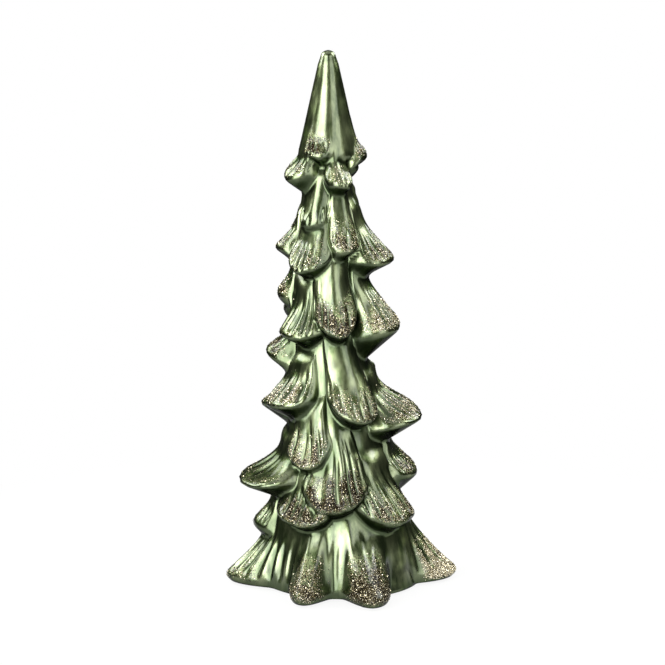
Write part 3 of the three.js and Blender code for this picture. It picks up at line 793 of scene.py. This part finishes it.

# %% [markdown]
# Silver is a metal, so metallic is 1. The matt silvering and the thin wall blur what they
# mirror, so the roughness is 0.3, and up to 0.4 under glue. The coat is lacquer with an
# IOR of 1.6 and a roughness of 0.15. Its weight falls from 1 to 0.15 under glue, which
# dulls it, and where shade is painted, so that the coat doesn't mirror the white table
# over the painted shade. A dark green specular tint keeps the edges of the boughs from
# mirroring the white table as pale outlines.

# %% Silver and coat
dulled = node(tree, "ShaderNodeMapRange", None, {
    "Value": glue.outputs["Fac"], "From Max": 0.8, "To Min": 0.3, "To Max": 0.4})
tree.links.new(dulled.outputs["Result"], shader.inputs["Roughness"])
shader.inputs["Metallic"].default_value = 1.0
shader.inputs["Specular Tint"].default_value = linear("#606E4A")
glue_or_painted_shade = node(tree, "ShaderNodeMath", {"operation": "MAXIMUM"}, {
    0: painted_shade_node.outputs["Fac"], 1: glue.outputs["Fac"]})
coat_left = node(tree, "ShaderNodeMapRange", None, {
    "Value": glue_or_painted_shade.outputs["Value"], "To Min": 1.0, "To Max": 0.15})
tree.links.new(coat_left.outputs["Result"], shader.inputs["Coat Weight"])
shader.inputs["Coat Roughness"].default_value = 0.15
shader.inputs["Coat IOR"].default_value = 1.6
glass.data.materials.append(glass_material)
print("glass material has", len(tree.nodes), "nodes")

# %% [markdown]
# ## Glitter flakes
#
# Craft glitter is metallised polyester film, cut into hexagons, here 0.44 mm and 0.32 mm
# wide. Each flake lies in the glue at its own tilt, so some mirror the lights and some
# mirror the dark room, and the tips sparkle. A particle system could strew them, but a
# few lines of numpy put each flake exactly where the density says. Each tip's flakes are
# one mesh, and each flake is a small closed plate.

# %% Scatter the flakes
FLAKE_WIDTH = 0.44
DUST_WIDTH = 0.32
FLAKE_THICK = 0.08
FLAKE_LIFT = 0.18
COARSE_SHARE = 0.6
FLAKES_PER_MM2 = 4.6
TILT = 0.33
rng = np.random.default_rng(24)
GRID_POINTS = np.stack([lean_at(Z) + RADIUS * np.sin(PHI), -RADIUS * np.cos(PHI), Z], axis=2)


def cell_frames():
    across = np.roll(GRID_POINTS, -1, axis=1)[:-1] - GRID_POINTS[:-1]
    down = GRID_POINTS[1:] - GRID_POINTS[:-1]
    normal = np.cross(down, across)
    area = np.linalg.norm(normal, axis=2)
    return normal / np.maximum(area, 1e-9)[:, :, None], area


CELL_NORMAL, CELL_AREA = cell_frames()


def random_spots(density):
    """Places on the glass, picked by how thick the glitter lies there."""
    weight = (density[:-1] * CELL_AREA).ravel()
    count = rng.poisson(weight.sum() * FLAKES_PER_MM2)
    cells = rng.choice(weight.size, size=count, p=weight / weight.sum())
    ring, column = np.divmod(cells, COLUMNS)
    a, b = rng.random((2, count, 1))
    following = (column + 1) % COLUMNS
    upper = GRID_POINTS[ring, column] * (1 - a) + GRID_POINTS[ring, following] * a
    lower = GRID_POINTS[ring + 1, column] * (1 - a) + GRID_POINTS[ring + 1, following] * a
    return upper * (1 - b) + lower * b, CELL_NORMAL[ring, column]


def flake_corners(spots, normals):
    """Six corners above and six below for each flake, tilted at random."""
    count = len(spots)
    facing = normals + TILT * rng.normal(size=(count, 3))
    facing /= np.linalg.norm(facing, axis=1, keepdims=True)
    side = np.cross(facing, rng.normal(size=(count, 3)))
    side /= np.linalg.norm(side, axis=1, keepdims=True)
    other = np.cross(facing, side)
    width = np.where(rng.random(count) < COARSE_SHARE, FLAKE_WIDTH, DUST_WIDTH)
    width = width * rng.uniform(0.8, 1.15, count)
    angle = np.arange(6) * math.pi / 3
    flat = (side[:, None] * np.cos(angle)[None, :, None]
            + other[:, None] * np.sin(angle)[None, :, None]) * (width / 2)[:, None, None]
    middle = spots + normals * FLAKE_LIFT
    half = facing[:, None] * FLAKE_THICK / 2
    return np.concatenate([middle[:, None] + flat + half, middle[:, None] + flat - half], axis=1)


def flake_faces(count):
    top = [0, 1, 2, 3, 4, 5]
    bottom = [11, 10, 9, 8, 7, 6]
    sides = [[i, i + 6, (i + 1) % 6 + 6, (i + 1) % 6] for i in range(6)]
    return [[corner + 12 * i for corner in face]
            for i in range(count) for face in (top, bottom, *sides)]


flake_pieces = []
for name, density in GLITTER.items():
    spots, normals = random_spots(density)
    corners = flake_corners(spots, normals)
    faces = flake_faces(len(spots))
    piece = mesh_object(f"flakes_{name}", corners.reshape(-1, 3), faces, smooth=False)
    shade = piece.data.attributes.new("shade", "FLOAT", "POINT")
    shade.data.foreach_set("value", np.repeat(rng.random(len(spots)) ** SHINE.get(name, 1), 12))
    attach(piece, "root")
    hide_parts(f"glitter_{name}")
    flake_pieces.append(piece)
print(sum(len(piece.data.vertices) for piece in flake_pieces) // 12, "flakes")

# %% [markdown]
# The film is aluminium behind tinted polyester, so metallic is 1 and the roughness is
# low, 0.22. The mix is champagne and dull bronze, with as many flakes that have lost their
# shine and look nearly black.

# %% Glitter material
flake_material, tree, shader = new_material("metallised_polyester_glitter")
shade = node(tree, "ShaderNodeAttribute", {"attribute_name": "shade"})
mixture = node(tree, "ShaderNodeValToRGB", None, {"Fac": shade.outputs["Fac"]})
mixture.color_ramp.interpolation = "CONSTANT"
mixture.color_ramp.elements[0].color = linear("#E6DEC4")
mixture.color_ramp.elements[1].position = 0.2
mixture.color_ramp.elements[1].color = linear("#C8C0A0")
for position, colour in ((0.35, "#706850"), (0.5, "#38321F"), (0.75, "#262218")):
    mixture.color_ramp.elements.new(position).color = linear(colour)
tree.links.new(mixture.outputs["Color"], shader.inputs["Base Color"])
shader.inputs["Metallic"].default_value = 1.0
shader.inputs["Roughness"].default_value = 0.22
for piece in flake_pieces:
    piece.data.materials.append(flake_material)
print("glitter material on", len(flake_pieces), "pieces")

# %% [markdown]
# ## The parts below the foot
#
# A silicone stopper closes the blow hole. It could be turned again with finer edges, but
# it hardly shows, and its measured shape is right as it is. So it only gets its material:
# silicone has an IOR of 1.41 and a dull skin, and its white is faintly mottled.

# %% Stopper
silicone, tree, shader = new_material("moulded_silicone")
place = node(tree, "ShaderNodeTexCoord")
mottle = node(tree, "ShaderNodeTexNoise", None, {
    "Vector": place.outputs["Object"], "Scale": per_metre(4), "Detail": 3.0})
whites = node(tree, "ShaderNodeValToRGB", None, {"Fac": mottle.outputs["Fac"]})
whites.color_ramp.elements[0].color = linear("#C9C9C2")
whites.color_ramp.elements[1].color = linear("#E2E2DC")
tree.links.new(whites.outputs["Color"], shader.inputs["Base Color"])
shader.inputs["Roughness"].default_value = 0.55
shader.inputs["IOR"].default_value = 1.41
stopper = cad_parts["stopper"]
stopper.data.materials.clear()
stopper.data.materials.append(silicone)
print("stopper has", len(silicone.node_tree.nodes), "nodes in its material")

# %% [markdown]
# Four clear domes of soft polyurethane keep the glass off the table. A sphere with its
# top cut off would do, but a turned profile gives the flat top and the rounded edge in
# their real sizes. Polyurethane has an IOR of 1.5 and lets most of the light through.

# %% Bumpers
BUMPER_EDGE = 0.45
BUMPER_SIDES = 40

polyurethane, tree, shader = new_material("clear_moulded_polyurethane")
place = node(tree, "ShaderNodeTexCoord")
haze = node(tree, "ShaderNodeTexNoise", None, {
    "Vector": place.outputs["Object"], "Scale": per_metre(2), "Detail": 2.0})
clear = node(tree, "ShaderNodeMapRange", None, {
    "Value": haze.outputs["Fac"], "To Min": 0.1, "To Max": 0.25})
tree.links.new(clear.outputs["Result"], shader.inputs["Roughness"])
shader.inputs["Base Color"].default_value = linear("#E8ECEC")
shader.inputs["IOR"].default_value = 1.5
shader.inputs["Transmission Weight"].default_value = 0.85


def bumper_profile(radius, height):
    edge = BUMPER_EDGE
    arc = [(radius - edge + edge * math.sin(a), edge - edge * math.cos(a))
           for a in np.linspace(0, math.pi / 2, 6)]
    return [(radius * 0.4, 0.0)] + arc + [(radius, height), (radius * 0.4, height)]


for number in range(1, 5):
    low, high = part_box(f"bumper_{number}")
    middle = (low + high) / 2 / MM - Vector(TRUNK_FOOT / MM)
    profile = bumper_profile((high[0] - low[0]) / 2 / MM, (high[2] - low[2]) / MM)
    steps = BUMPER_SIDES
    turned = [[middle[0] + r * math.cos(t), middle[1] + r * math.sin(t), z]
              for r, z in profile for t in np.arange(steps) * 2 * math.pi / steps]
    faces = [list(range(steps))[::-1], [(len(profile) - 1) * steps + i for i in range(steps)]]
    for row in range(len(profile) - 1):
        for i in range(steps):
            here, after = row * steps + i, row * steps + (i + 1) % steps
            faces.append([here, after, after + steps, here + steps])
    dome = mesh_object(f"bumper_dome_{number}", np.array(turned), faces)
    dome.data.materials.append(polyurethane)
    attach(dome, "root")
    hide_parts(f"bumper_{number}")
print("4 bumpers,", round((high[2] - low[2]) / MM, 2), "mm high")

# %% [markdown]
# ## Table, room and lights
#
# Photographers light silvered glass with a few tall soft boxes in a dark room: the glass
# mirrors them as long bright bands with dark between.
#
# The table is white laminate with a roughness of 0.6. Where the camera or a mirrored ray
# sees it, it glows nearly as white as the background, so its edge doesn't show. Near the
# tree about an eighth of its real shading is left, for a faint shadow round the foot.

# %% Table
TABLE_RADIUS = 0.42
TABLE_SIDES = 96


def background_rays(tree):
    """1 for rays that show the background: to the camera, mirrored or through glass."""
    rays = node(tree, "ShaderNodeLightPath")
    shown = node(tree, "ShaderNodeMath", {"operation": "MAXIMUM"}, {
        0: rays.outputs["Is Camera Ray"], 1: rays.outputs["Is Glossy Ray"]})
    shown = node(tree, "ShaderNodeMath", {"operation": "MAXIMUM"}, {
        0: shown.outputs["Value"], 1: rays.outputs["Is Transmission Ray"]})
    return shown.outputs["Value"]


table_mesh = bpy.data.meshes.new("table")
rim = [(TABLE_RADIUS * math.cos(a), TABLE_RADIUS * math.sin(a), 0)
       for a in np.linspace(0, 2 * math.pi, TABLE_SIDES, endpoint=False)]
table_mesh.from_pydata(rim, [], [list(range(TABLE_SIDES))])
table = bpy.data.objects.new("table", table_mesh)
bpy.context.scene.collection.objects.link(table)
table_material, tree, shader = new_material("white_laminate")
shader.inputs["Base Color"].default_value = linear("#E6E6E4")
shader.inputs["Roughness"].default_value = 0.6
glow = node(tree, "ShaderNodeEmission", None, {"Color": (1, 1, 1, 1), "Strength": 1.0})
place = node(tree, "ShaderNodeTexCoord")
from_tree = node(tree, "ShaderNodeVectorMath", {"operation": "LENGTH"}, {
    0: place.outputs["Object"]})
sweep = node(tree, "ShaderNodeMapRange", None, {
    "Value": from_tree.outputs["Value"], "From Min": 0.09, "From Max": 0.3,
    "To Min": 0.88, "To Max": 1.0})
lift = node(tree, "ShaderNodeMath", {"operation": "MULTIPLY"}, {
    0: background_rays(tree), 1: sweep.outputs["Result"]})
shown = node(tree, "ShaderNodeMixShader", None, {
    0: lift.outputs["Value"], 1: shader.outputs["BSDF"], 2: glow.outputs["Emission"]})
tree.links.new(shown.outputs["Shader"], tree.nodes["Material Output"].inputs["Surface"])
table_mesh.materials.append(table_material)
table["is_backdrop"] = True
print("table is", 2 * TABLE_RADIUS, "m across")

# %% [markdown]
# The room's own light is an even grey. It turns white only for rays that show the
# background, so the background is white and the glass isn't flooded with light.

# %% World
ROOM_GREY = (0.35, 0.35, 0.35, 1)
BACKGROUND_WHITE = (1, 1, 1, 1)

world = bpy.data.worlds.new("white_studio")
bpy.context.scene.world = world
world.use_nodes = True
tree = world.node_tree
room = node(tree, "ShaderNodeMix", {"data_type": "RGBA"}, {
    "Factor": background_rays(tree), "A": ROOM_GREY, "B": BACKGROUND_WHITE})
background = tree.nodes["Background"]
tree.links.new(room.outputs["Result"], background.inputs["Color"])
background.inputs["Strength"].default_value = 1.0
print("room light is", ROOM_GREY[0], "of the white background")

# %% [markdown]
# A mirror shows the whole room, so its dark parts need something dark to mirror. Three
# curtains of grey felt hang round the tree, darkest in front. A black box would do the
# same, but curtains can each have their own grey. The camera doesn't see them, they cast
# no shadow and they light nothing that is matt.

# %% Curtains
CURTAIN_RADIUS = 2.6
CURTAIN_LOW = -2.2
CURTAIN_HIGH = 4.5
CURTAIN_PANELS = 64


def mirrored_only(thing):
    thing.visible_camera = False
    thing.visible_diffuse = False
    thing.visible_shadow = False


def curtain(name, colour, arc):
    steps = CURTAIN_PANELS
    angles = np.radians(np.linspace(arc[0], arc[1], steps + 1))
    rim = [(CURTAIN_RADIUS * math.sin(a), -CURTAIN_RADIUS * math.cos(a)) for a in angles]
    points = [(x, y, z) for z in (CURTAIN_LOW, CURTAIN_HIGH) for x, y in rim]
    faces = [[i, i + 1, steps + 2 + i, steps + 1 + i] for i in range(steps)]
    mesh = bpy.data.meshes.new(name)
    mesh.from_pydata(points, [], faces)
    cloth = bpy.data.objects.new(name, mesh)
    bpy.context.scene.collection.objects.link(cloth)
    material, tree, _ = new_material(f"{name}_felt")
    glow = node(tree, "ShaderNodeEmission", None, {"Color": linear(colour), "Strength": 1.0})
    tree.links.new(glow.outputs["Emission"], tree.nodes["Material Output"].inputs["Surface"])
    mesh.materials.append(material)
    mirrored_only(cloth)
    cloth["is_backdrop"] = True


curtain("front_curtain", "#282827", (-62, 80))
curtain("left_curtain", "#2E2E2C", (274, 300))
curtain("back_curtain", "#3C3E3A", (80, 276))
print("3 curtains,", CURTAIN_RADIUS, "m from the tree")

# %% [markdown]
# Each soft box is an area lamp, given by its bearing, height, distance, width, length and
# power in watts, and turned to the middle of the tree. Two tall ones stand in front, the
# stronger at the left, as the brighter bands in the photograph are. Two hang high at the
# sides and three weak ones behind.

# %% Soft boxes
TREE_MIDDLE = Vector((0, 0, 0.15))


def soft_box(name, bearing, height, distance, width, tall, power):
    lamp = bpy.data.lights.new(name, "AREA")
    lamp.shape = "RECTANGLE"
    lamp.size = width
    lamp.size_y = tall
    lamp.energy = power
    box = bpy.data.objects.new(name, lamp)
    bpy.context.scene.collection.objects.link(box)
    angle = math.radians(bearing)
    box.location = (distance * math.sin(angle), -distance * math.cos(angle), height)
    box.rotation_euler = (TREE_MIDDLE - box.location).to_track_quat("-Z", "Y").to_euler()
    box.visible_camera = False


soft_box("box_left", -31, 0.3, 1.3, 1.1, 1.8, 47)
soft_box("box_right", 42, 0.3, 1.3, 0.9, 1.8, 14.5)
soft_box("box_left_high", -102, 0.98, 1.1, 0.6, 0.8, 14)
soft_box("box_right_high", 100, 1.1, 1.1, 0.55, 0.7, 11)
soft_box("box_right_back", 140, 0.85, 1.3, 0.6, 0.5, 6)
soft_box("box_left_back", -128, 0.85, 1.3, 0.6, 0.5, 4.5)
soft_box("box_back", 180, 0.95, 1.4, 0.9, 0.9, 3)
bpy.context.scene.view_settings.view_transform = "Standard"

# %% [markdown]
# ## Last look
#
# The dressed tree has to stay inside the measured model's box, so both are written down
# next to each other.

# %% Finish
visual_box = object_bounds()
for label, box in (("measured", cad_box), ("dressed", visual_box)):
    print(label, [round((b - a) / MM, 1) for a, b in zip(*box)], "mm")
